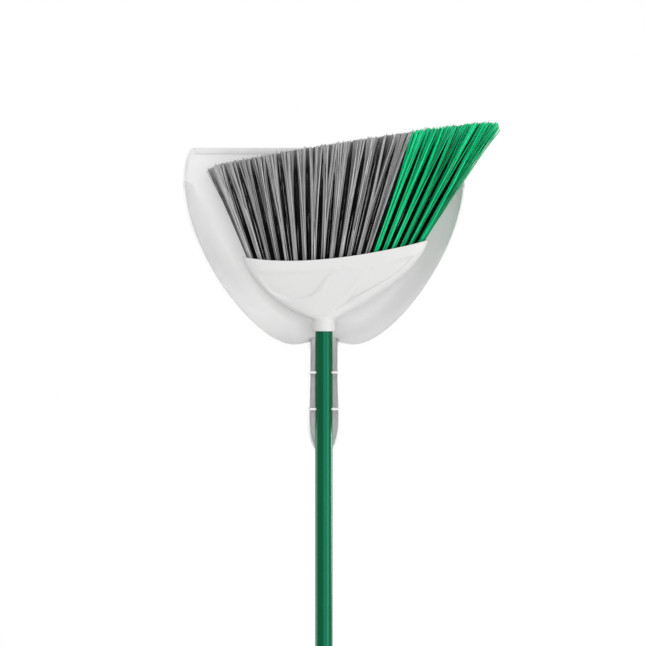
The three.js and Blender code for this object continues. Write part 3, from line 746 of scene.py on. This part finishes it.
def draw_fibre(chance, column, row, lock):
    """Draws one fibre: its ends, its bends, its width, its tone, and the painted shade that it gets from
    where it lies in the tuft.
    """
    root, tip = ROOTS[column][0], TIPS[column]
    outwards = (column == COLUMNS - 1) - (column == 0)
    inner, green = row in (1, 2), column >= GREY_COLUMNS
    pitch = mix(ROW_PITCH, END_ROW_PITCH, abs(2 * column / (COLUMNS - 1) - 1) ** 6)

    # side and back run from -1 to 1 across the tuft.
    side = lock[0] + chance.gauss(0, 0.25 if inner else 0.075)
    back = lock[1] + chance.gauss(0, 0.14)
    out = max(outwards * side, 0)
    size = max(math.hypot(side, back), 1)

    # Roots are pinched together in the front and back rows, and wider in the inner rows and at the ends.
    root_side = mix(side / size, chance.uniform(-1, 1), 0.65)
    reach = 1.5 if outwards * root_side > 0 else 1.7 if inner else 0.78
    x0 = root[0] + root_side * TUFT_RADIUS * reach
    y0 = (row - 1.5) * pitch + back / size * TUFT_RADIUS
    z0 = root[1] - 1.5

    # The end columns flare outwards and droop there, and so a little do a tuft's front and back ends.
    x1 = tip[0] + side * tip_half_width(column) * 1.07 + out * outwards * (3.0 if outwards > 0 else 4.5)
    y1 = (row - 1.5) * TIP_ROW_PITCH + back * TIP_ROW_PITCH * 0.52
    stray = chance.random() < (0.03 if green else 0.015)
    ragged = chance.gauss(0, 1.4 if green else 0.9) + (chance.uniform(0.5, 3.5) if stray else 0)
    droop = (4.0 if outwards > 0 else 1.5) * out**2 + 1.2 * back * back
    low_end = 3.4 * (1 - column / (COLUMNS - 1)) ** 1.4
    z1 = trim_height(x1) + ragged - 1.0 - droop - low_end
    lift = (z1 - z0) / (tip[1] - root[1])

    # Fibres of the inner rows are marked for a near-black painted shade, and fibres at a tuft's sides get a
    # painted shade near the root.
    fibre = SimpleNamespace(
        root=(x0, y0, z0), tip=(x0 + (x1 - x0) * lift, y1, z1), middle=(tip[0] - root[0]) * lift,
        gather=0.3 if inner else 1.0, bow=(chance.gauss(0, 0.4), chance.gauss(0, 0.6)),
        width=chance.uniform(0.60, 0.84), spin=chance.uniform(0, 2),
        painted_black_inner=inner and outwards * side < 0.25, edge=ease((abs(side) - 0.55) / 0.5) * 0.5,
        paleness=0.3 if inner else 0.5,
    )
    # Inner-row fibres away from the end columns are painted a quarter darker: painted shade behind the
    # front and back rows.
    tone = lock[2] + chance.gauss(0.0, 0.16) - (0.25 if inner and not outwards else 0.0)
    dark = chance.random() < (0.26 if green else 0.2)
    fibre.tone = min(max(tone, 0), 1) * (0.1 if dark else 1.0)
    return fibre


def fibre_corner(fibre, across, deep, share):
    """Where a corner of the rod lies on a fibre, which stays in its bundle low down."""
    (x0, y0, z0), (x1, y1, z1) = fibre.root, fibre.tip
    belly = math.sin(math.pi * share)
    thick = fibre.width * mix(1.0, FIBRE_TAPER, share)
    gathered = (x1 - x0 - fibre.middle) * (share - share**2) * fibre.gather
    x = x0 + (x1 - x0) * share - gathered + fibre.bow[0] * belly
    y = y0 + (y1 - y0) * share + fibre.bow[1] * belly
    x += thick * (across * math.cos(fibre.spin) - deep * math.sin(fibre.spin))
    y += thick * (across * math.sin(fibre.spin) + deep * math.cos(fibre.spin))
    return at(x, y, z0 + (z1 - z0) * share)


def fibre_painted_shade(fibre, share):
    """The painted shade of a fibre at a share of its length: the inner rows are painted nearly black below
    their tips, and fibres at a tuft's sides darker near the root.
    """
    if fibre.painted_black_inner:
        return mix(0.99, 0.85, ease((share - 0.3) / 0.5)) - 0.5 * ease((share - 0.88) / 0.12)
    return fibre.edge * (1 - 0.6 * share)


def make_tufts(rod, column, name, material, slot, node):
    """The four tufts of one column, each a bundle of copies of the rod, gathered in locks."""
    chance = random.Random(101 + column)
    rod_corners, rod_faces = rod
    corners, faces = [], []
    # The depth layer holds each corner's painted shade, which darkens the fibre colour where the tuft
    # shades it.
    layers = {"tone": [], "depth": [], "tip": []}
    for row in range(ROWS):
        parts = locks(chance, LOCKS)
        for count in range(INNER_FIBRES if row in (1, 2) else OUTER_FIBRES):
            fibre = draw_fibre(chance, column, row, parts[count % LOCKS])
            start = len(corners)
            for across, deep, share in rod_corners:
                corners.append(fibre_corner(fibre, across, deep, share))
                layers["tone"].append(fibre.tone)
                layers["depth"].append(fibre_painted_shade(fibre, share))
                layers["tip"].append(ease((share - 0.88) / 0.12) * fibre.paleness)
            faces.extend(tuple(start + i for i in face) for face in rod_faces)
    mesh = bpy.data.meshes.new(name)
    mesh.from_pydata(corners, [], faces)
    for label, values in layers.items():
        layer = mesh.attributes.new(label, "FLOAT", "POINT")
        layer.data.foreach_set("value", values)
    tufts = bpy.data.objects.new(name, mesh)
    bpy.context.scene.collection.objects.link(tufts)
    smooth(tufts, 80)
    dress(tufts, material, "head", slot, node)


def make_bristles():
    """All the columns: the grey ones from the left, then the green ones."""
    rod = make_rod()
    for column in range(COLUMNS):
        green = column >= GREY_COLUMNS
        shade, material = ("green", GREEN_FIBRE) if green else ("grey", GREY_FIBRE)
        number = f"{column + 1 - GREY_COLUMNS * green:02d}"
        name, node = f"{shade}_bristles_{number}", f"{shade}_tufts_{number}"
        make_tufts(rod, column, name, material, f"{shade}_bristle", node)


# ---- dust pan ----

# The right half of the rim, seen from the front: its front corner, its side and the dip at the rear.
FLOOR_HALF = PAN_HALF - WING
CORNER = (
    (FLOOR_HALF, LIP_Z), (PAN_HALF - 0.43 * WING, LIP_Z - 3.5),
    (PAN_HALF, mix(WIDEST_Z, LIP_Z, 0.45)), (PAN_HALF, WIDEST_Z),
)
SIDE = (
    (PAN_HALF, WIDEST_Z), (PAN_HALF, 0.53 * WIDEST_Z),
    (0.5 * PAN_HALF, -REAR_DROP), (LOBE_X, -REAR_DROP),
)
DIP = (
    (LOBE_X, -REAR_DROP), (0.65 * LOBE_X, -REAR_DROP),
    (0.36 * LOBE_X, -NOTCH_DROP), (0.0, -NOTCH_DROP),
)


def rim_half():
    """Places along the right half of the rim, each with its way in to the floor."""
    places = []
    for curve, count, sideways in ((CORNER, 26, True), (SIDE, 90, False), (DIP, 26, False)):
        for i in range(count + (1 if curve is DIP else 0)):
            share = i / count
            here = bezier(curve, share)
            ahead = bezier(curve, min(share + 0.004, 1.0)) - bezier(curve, max(share - 0.004, 0.0))
            ahead = ahead / np.linalg.norm(ahead)
            way = np.array([-1.0, 0.0]) if sideways else np.array([ahead[1], -ahead[0]])
            places.append((here, way))
    return places


def wall_height(z):
    """How far the wall stands up from the floor: low wings at the lip, and deep at the rear."""
    forward = (z - WIDEST_Z) / (LIP_Z - WIDEST_Z)
    if forward > 0:
        return WING_RISE * (1 - 0.9 * forward * forward)
    step = ease((WIDEST_Z - z) / 9)
    climb = ease((WIDEST_Z - 9 - z) / 131)
    return WING_RISE + (WALL_STEP - WING_RISE) * step + (REAR_DEPTH - WALL_STEP) * climb


def wall_sweep(here):
    """How far the wall curves in before it meets the floor."""
    if here[1] >= WIDEST_Z:
        return max(here[0] - FLOOR_HALF, 0.4)
    return mix(WING, SIDE_SWEEP, ease((WIDEST_Z - here[1]) / 45))


def wall_line(here, way):
    """The inside of the wall at one place on the rim, from the floor up; low where the grip opens."""
    height, sweep = wall_height(here[1]), wall_sweep(here)
    opening = here[1] < 0 and abs(here[0]) < GRIP_HALF
    lowest = math.asin(1 - (FLOOR_FRONT - GRIP_FLOOR) / height) if opening else 0.0
    line = []
    for row in range(WALL_ROWS + 1):
        angle = max(mix(math.pi / 2, 0.0, row / WALL_ROWS), lowest)
        inwards = PAN_WALL + sweep * (1 - math.cos(angle))
        depth = FLOOR_FRONT - height * (1 - math.sin(angle))
        line.append((here[0] + way[0] * inwards, depth, here[1] + way[1] * inwards))
    return line


def make_pan():
    """The pan: a flat floor whose edge is pulled up row by row into the curved walls."""
    half = rim_half()
    places = half + [((-h[0], h[1]), (-w[0], w[1])) for h, w in reversed(half[:-1])]
    lines = [wall_line(np.array(h, float), np.array(w, float)) for h, w in places]
    foot = LIP_Z - LIP_WIDTH
    side = FLOOR_HALF - PAN_WALL - 1
    front = [(-side, LIP_Z - 0.4), (-side, mix(LIP_Z, foot, 0.5)), (-side, foot)]
    front += [(mix(-side, side, i / 24), foot) for i in range(1, 24)]
    front += [(side, foot), (side, mix(LIP_Z, foot, 0.5)), (side, LIP_Z - 0.4)]
    floor = [at(*line[0]) for line in lines] + [at(x, FLOOR_FRONT, z) for x, z in front]
    pan = circle("pan_shell", floor, "NGON")
    line = list(range(len(lines)))
    pick(bmesh.from_edit_mesh(pan.data), set(line))
    for row in range(1, WALL_ROWS + 1):
        line = pull(pan, line, [at(*wall[row]) for wall in lines])
    bpy.ops.mesh.select_all(action="SELECT")
    bpy.ops.mesh.remove_doubles(threshold=0.01 * MM)
    rest()
    faces_out(pan, lambda middle: (0, -1, 0))
    apply_modifier(pan, "SOLIDIFY", thickness=PAN_WALL * MM, offset=-1, use_even_offset=False)
    top = at(0, 0, LIP_Z - 0.3)[2]
    for corner in pan.data.vertices:
        corner.co.z = min(corner.co.z, top)
    bevel(pan, 0.7, 3, 60)
    smooth(pan, 40)
    apply_modifier(pan, "WEIGHTED_NORMAL", keep_sharp=True)
    dress(pan, WHITE_PAN, "dustpan", "white_pan", "pan_body")


def grip_section(z):
    """Half width, floor and front edge of the pan's handle at a height."""
    taper = GRIP_END + GRIP_TAPER
    swell = ease((-40 - z) / 45)
    half = GRIP_HALF + swell
    floor, front = GRIP_FLOOR, GRIP_FRONT
    if z < taper:
        share = (taper - z) / (taper - GRIP_END - GRIP_WALL)
        half *= math.sqrt(max(1 - share**2.3, 0))
        floor = mix(TUBE_RADIUS + 1.0, GRIP_FLOOR - 2.5 * ease(share * 1.5), math.sqrt(1 - share * share))
        front = mix(GRIP_FRONT, TUBE_RADIUS + 0.6, share)
    return half, floor, front


def rear_wall(y):
    """The height of the middle of the pan's rear wall, beside the grip, at a depth."""
    rise = 1 - (FLOOR_FRONT - y) / REAR_DEPTH
    return PAN_WALL / 2 - 1.1 * NOTCH_DROP + SIDE_SWEEP * (1 - math.sqrt(max(1 - rise * rise, 0)))


def grip_level(y, z):
    """A level of the grip, sunk with the rear wall so that the grip starts under its curve."""
    return min(z, rear_wall(y) + 1.5 * ease((y - 8) / 8) + z - GRIP_START)


def make_grip():
    """The channelled grip: a skin open to the front, closed in a round end, and a wall thick."""
    taper = GRIP_END + GRIP_TAPER
    last = GRIP_END + GRIP_WALL
    levels = [GRIP_START, -8.0, -12.0, *np.linspace(-16, taper, GRIP_ROWS)]
    turns = [0.47 * math.pi * i / GRIP_ROWS for i in range(1, GRIP_ROWS + 1)]
    levels += [mix(taper, last, math.sin(turn)) for turn in turns]
    rows = []
    for z in levels:
        half, floor, front = grip_section(z)
        fillet = min(3.0, half * 0.8, (floor - front) * 0.6)
        side = [(half, mix(front, floor - fillet, i / 6)) for i in range(7)]
        bend = [
            (half - fillet * (1 - math.cos(t)), floor - fillet * (1 - math.sin(t)))
            for t in (math.pi / 2 * i / 6 for i in range(1, 7))
        ]
        across_floor = [((half - fillet) * (1 - i / 5), floor) for i in range(1, 6)]
        right = side + bend + across_floor
        left = [(-x, y) for x, y in reversed(right[:-1])]
        rows.append([at(x, y, grip_level(y, z)) for x, y in right + left])
    rows.append([(0.0, y, z - 0.05 * MM) for x, y, z in rows[-1]])
    grip = ringed("pan_grip", rows, open_line=True)
    bpy.ops.mesh.select_all(action="SELECT")
    bpy.ops.mesh.remove_doubles(threshold=0.01 * MM)
    faces_out(grip, lambda middle: (-middle[0] * 3, -0.01, 0))
    apply_modifier(grip, "SOLIDIFY", thickness=GRIP_WALL * MM, offset=-1, use_even_offset=False)
    bevel(grip, 0.6, 3, 60)
    smooth(grip, 45)
    dress(grip, WHITE_PAN, "dustpan", "white_pan")


def make_rib(number, level):
    """A snap rib: a plate across the channel, cut round for the tube, with thick rounded jaws."""
    half = grip_section(level)[0] + 0.8
    cut = TUBE_RADIUS + 0.3
    mouth = GRIP_FRONT - 0.2
    opening = math.asin(mouth / cut)
    arc = [
        (cut * math.cos(t), cut * math.sin(t))
        for t in (mix(opening, math.pi - opening, i / 40) for i in range(41))
    ]
    outline = [(-half, mouth), (-half, GRIP_FLOOR + 1.2), (half, GRIP_FLOOR + 1.2), (half, mouth)]
    places = [at(x, y, level - RIB_THICK / 2) for x, y in outline + arc]
    rib = circle(f"snap_rib_{number}", places, "NGON")
    bpy.ops.mesh.select_all(action="SELECT")
    bpy.ops.mesh.extrude_region_move(TRANSFORM_OT_translate={"value": (0, 0, RIB_THICK * MM)})
    bpy.ops.mesh.select_all(action="SELECT")
    bpy.ops.mesh.normals_make_consistent(inside=False)
    rest()
    bevel(rib, 0.5, 2, 40)
    smooth(rib, 40)
    dress(rib, WHITE_PAN, "dustpan", "white_pan")


def make_lip():
    """The soft strip along the pan's front edge: a thin blade with a rounded tip and rounded ends."""
    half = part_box("pan_lip")[1][0] / MM
    back = FLOOR_FRONT + PAN_WALL
    foot, tip = LIP_Z - LIP_WIDTH - 1.5, LIP_Z
    section = [
        (FLOOR_FRONT + 0.3, foot - 0.6), (FLOOR_FRONT + 0.03, foot + 0.4), (FLOOR_FRONT - 0.06, foot + 1.8),
        (FLOOR_FRONT - 0.06, foot + 3.5), (FLOOR_FRONT + 0.1, tip - 1.0), (FLOOR_FRONT + 0.5, tip - 0.3),
        (FLOOR_FRONT + 1.2, tip), (FLOOR_FRONT + 1.9, tip - 0.3), (back, tip - 1.0),
        (back + 0.3, foot + 3.5), (back + 0.35, foot + 1.2), (back + 0.15, foot + 0.3), (back - 0.3, foot),
    ]
    middle = np.mean(section, axis=0)
    stops = [(-half, 0.6), (-half + 0.3, 0.9), (-half + 0.9, 1.0)]
    stops += [(x, 1.0) for x in np.linspace(-half + 2, half - 2, 40)]
    stops += [(-x, share) for x, share in reversed(stops[:3])]
    rings = [
        [at(x, *(middle + (np.array(corner) - middle) * share)) for corner in section]
        for x, share in stops
    ]
    lip = ringed("lip_strip", rings)
    close_ends(lip)
    smooth(lip, 50)
    dress(lip, WHITE_RUBBER, "dustpan", "white_rubber", "pan_lip")


# ---- what stays from the model, with its own finish ----


def finish_node(name, material):
    """Gives a node of the model its material."""
    node = frame["nodes"][name]
    node.data.materials.clear()
    node.data.materials.append(material)


# ---- studio ----


def softbox(name, place, target, width, height, power):
    """A flat lamp that looks at a target."""
    data = bpy.data.lights.new(name, "AREA")
    data.shape = "RECTANGLE"
    data.size, data.size_y, data.energy = width, height, power
    light = bpy.data.objects.new(name, data)
    light.location = place
    way = Vector(target) - Vector(place)
    light.rotation_euler = way.to_track_quat("-Z", "Y").to_euler()
    bpy.context.scene.collection.objects.link(light)


def make_backdrop():
    """White behind the object, and a softer white light from all round it."""
    scene = bpy.context.scene
    scene.view_settings.view_transform = "Standard"
    scene.view_settings.look = "None"
    world = bpy.data.worlds.new("studio")
    scene.world = world
    world.use_nodes = True
    tree = world.node_tree
    tree.nodes.clear()
    output = tree.nodes.new("ShaderNodeOutputWorld")
    seen, lit = tree.nodes.new("ShaderNodeBackground"), tree.nodes.new("ShaderNodeBackground")
    seen.inputs["Color"].default_value = (1, 1, 1, 1)
    seen.inputs["Strength"].default_value = 1.0
    lit.inputs["Color"].default_value = (1, 1, 1, 1)
    lit.inputs["Strength"].default_value = 0.65
    switch, path = tree.nodes.new("ShaderNodeMixShader"), tree.nodes.new("ShaderNodeLightPath")
    tree.links.new(path.outputs["Is Camera Ray"], switch.inputs["Fac"])
    tree.links.new(lit.outputs["Background"], switch.inputs[1])
    tree.links.new(seen.outputs["Background"], switch.inputs[2])
    tree.links.new(switch.outputs["Shader"], output.inputs["Surface"])


def make_lamps():
    """A key over the left shoulder, a wide fill in front, and three for the tube's and pan's edges."""
    head, tube = (0, 0, SOCKET_Z + 0.08), (0, 0, SOCKET_Z - 0.6)
    softbox("key_softbox", (-1.2, -2.4, SOCKET_Z + 1.5), head, 1.4, 1.1, 13)
    softbox("front_fill", (1.0, -4.8, SOCKET_Z + 0.4), head, 3.2, 3.2, 60)
    softbox("strip_right", (1.95, -1.45, tube[2]), tube, 1.4, 1.3, 22)
    softbox("rim_left", (-2.2, 0.9, tube[2]), tube, 1.0, 1.3, 10)
    softbox("rim_right", (2.0, 1.3, SOCKET_Z + 0.1), head, 0.9, 0.9, 15)


def make_floor():
    """A pale round floor, just under the handle's end."""
    rest()
    bpy.ops.mesh.primitive_circle_add(vertices=96, radius=1.5, fill_type="NGON", location=(0, 0, -0.0005))
    floor = bpy.context.object
    floor.name = "studio_floor"
    bpy.ops.object.transform_apply(location=True)
    pale = Finish("pale_floor", 0.8)
    pale.colour(pale.ramp(pale.noise(3.0), (0.3, grey(0.80)), (0.7, grey(0.84))))
    pale.bump((pale.noise(200.0), 0.05, 0.1))
    floor.data.materials.append(pale.material)


def make_camera():
    """Straight from the front, level with the head, from far away."""
    data = bpy.data.cameras.new("camera")
    camera = bpy.data.objects.new("camera", data)
    bpy.context.scene.collection.objects.link(camera)
    distance, half_view = 8.0, 0.36175
    camera.location = (-0.001, -distance, SOCKET_Z + 0.0093)
    camera.rotation_euler = (math.radians(90), 0, 0)
    data.sensor_fit = "HORIZONTAL"
    data.angle = 2 * math.atan(half_view / distance)
    data.clip_end = 60
    bpy.context.scene.camera = camera


make_tube()
make_hang_cap()
make_cap()
make_bristles()
make_pan()
make_grip()
make_lip()
for number, level in enumerate(RIB_LEVELS, 1):
    make_rib(number, level)
finish_node("thread_tip", NATURAL_PLASTIC)
finish_node("bristle_block", BLACK_PLASTIC)
make_backdrop()
make_lamps()
make_floor()
make_camera()
